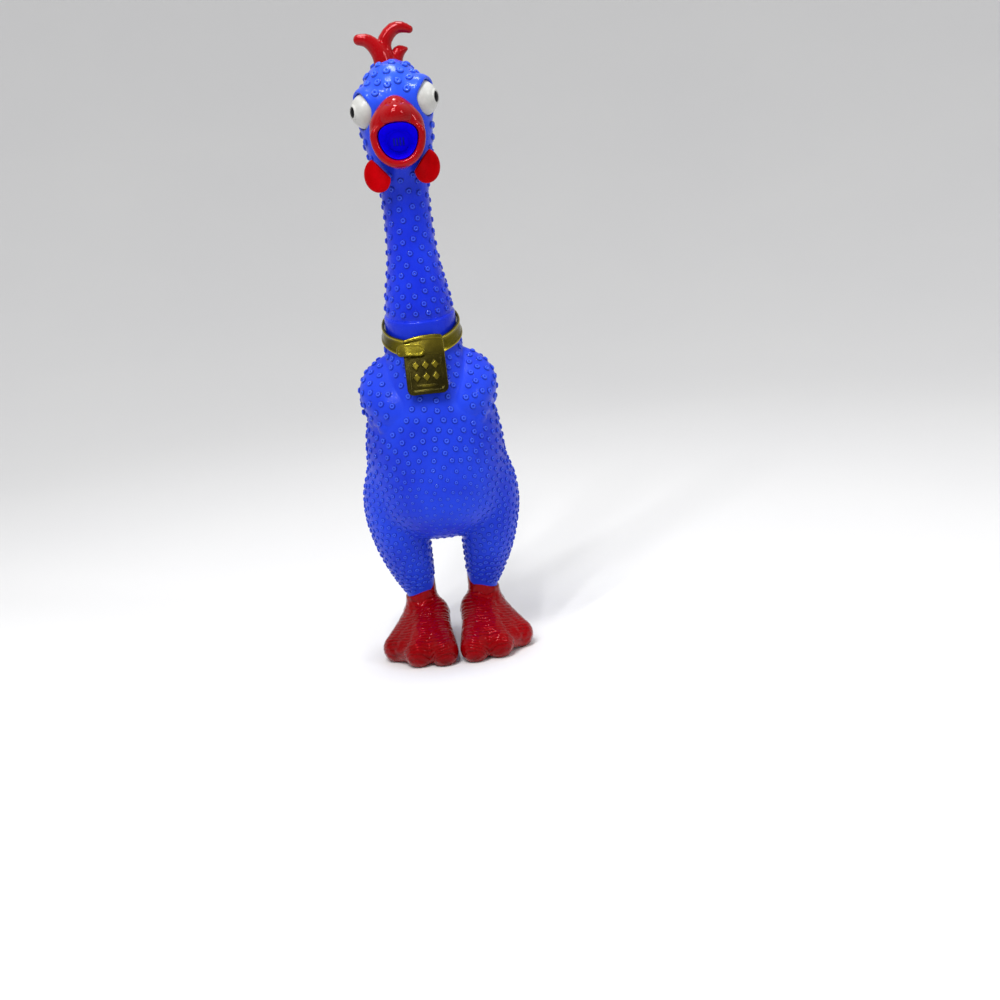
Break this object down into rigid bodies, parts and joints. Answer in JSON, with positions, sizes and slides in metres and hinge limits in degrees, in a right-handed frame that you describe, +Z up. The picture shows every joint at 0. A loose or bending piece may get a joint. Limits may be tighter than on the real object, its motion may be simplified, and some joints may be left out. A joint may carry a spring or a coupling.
{
  "type": "rubber chicken",
  "caption": "Giant squeaking rubber chicken: studded hollow vinyl body, long bendy neck, open beak, gold collar with a plate, and hollow wrinkled feet.",
  "frame": {"origin": "on the floor, under the middle of the standing chicken's box", "axes": "+Z up, the beak and toes point to -Y, the chicken's own left side is +X"},
  "size_m": [0.2062, 0.192, 0.824],
  "materials": {
    "body_vinyl": "semi-gloss, studded",
    "neck_vinyl": "semi-gloss, studded",
    "red_vinyl": "glossy",
    "mouth_vinyl": "matte",
    "wattle_vinyl": "matte",
    "eye_white": "satin paint",
    "pupil_black": "gloss paint",
    "foot_vinyl": "glossy, wrinkled",
    "gold_vinyl": "metallic gold paint",
    "clear_plastic": "gloss",
    "reed_metal": "thin strip"
  },
  "bodies": {
    "torso": {"body_shell": "body_vinyl"},
    "belly": {"belly_wall": "body_vinyl"},
    "neck": {"neck_shell": "neck_vinyl"},
    "head": {"head_shell": "body_vinyl", "comb": "red_vinyl", "beak": "red_vinyl", "mouth_lining": "mouth_vinyl", "wattle_left": "wattle_vinyl", "wattle_right": "wattle_vinyl", "eye_left": "eye_white", "eye_right": "eye_white", "pupil_left": "pupil_black", "pupil_right": "pupil_black", "squeaker_housing": "clear_plastic", "squeaker_reed_bed": "clear_plastic", "squeaker_reed_clamp": "clear_plastic", "squeaker_cap": "clear_plastic"},
    "reed": {"squeaker_reed": "reed_metal"},
    "collar": {"collar_band": "gold_vinyl", "collar_tag": "gold_vinyl", "collar_strap_end": "gold_vinyl"},
    "left_foot": {"foot_left": "foot_vinyl"},
    "right_foot": {"foot_right": "foot_vinyl"}
  },
  "joints": [
    {"name": "belly_squeeze", "type": "slide", "parent": "torso", "child": "belly", "axis": [0, 1, 0], "range_m": [0, 0.05], "stiffness_N_per_m": 400},
    {"name": "neck_sway", "type": "hinge", "parent": "torso", "child": "neck", "pos_m": [0, 0.007, 0.455], "axis": [0, 1, 0], "range_deg": [-20, 20], "stiffness_Nm_per_rad": 10},
    {"name": "head_nod", "type": "hinge", "parent": "neck", "child": "head", "pos_m": [0, 0.007, 0.612], "axis": [1, 0, 0], "range_deg": [-20, 20], "stiffness_Nm_per_rad": 5},
    {"name": "reed_buzz", "type": "hinge", "parent": "head", "child": "reed", "pos_m": [0, -0.0037, 0.67915], "axis": [1, 0, 0], "range_deg": [0, 15], "stiffness_Nm_per_rad": 0.01},
    {"name": "collar_turn", "type": "hinge", "parent": "torso", "child": "collar", "pos_m": [0, 0.007, 0.442], "axis": [0, 0, 1], "range_deg": [-12, 12]},
    {"name": "ankle_left", "type": "hinge", "parent": "torso", "child": "left_foot", "pos_m": [0.0435, 0.007, 0.08], "axis": [1, 0, 0], "range_deg": [-20, 20], "stiffness_Nm_per_rad": 8},
    {"name": "ankle_right", "type": "hinge", "parent": "torso", "child": "right_foot", "pos_m": [-0.0435, 0.007, 0.08], "axis": [1, 0, 0], "range_deg": [-20, 20], "stiffness_Nm_per_rad": 8}
  ]
}
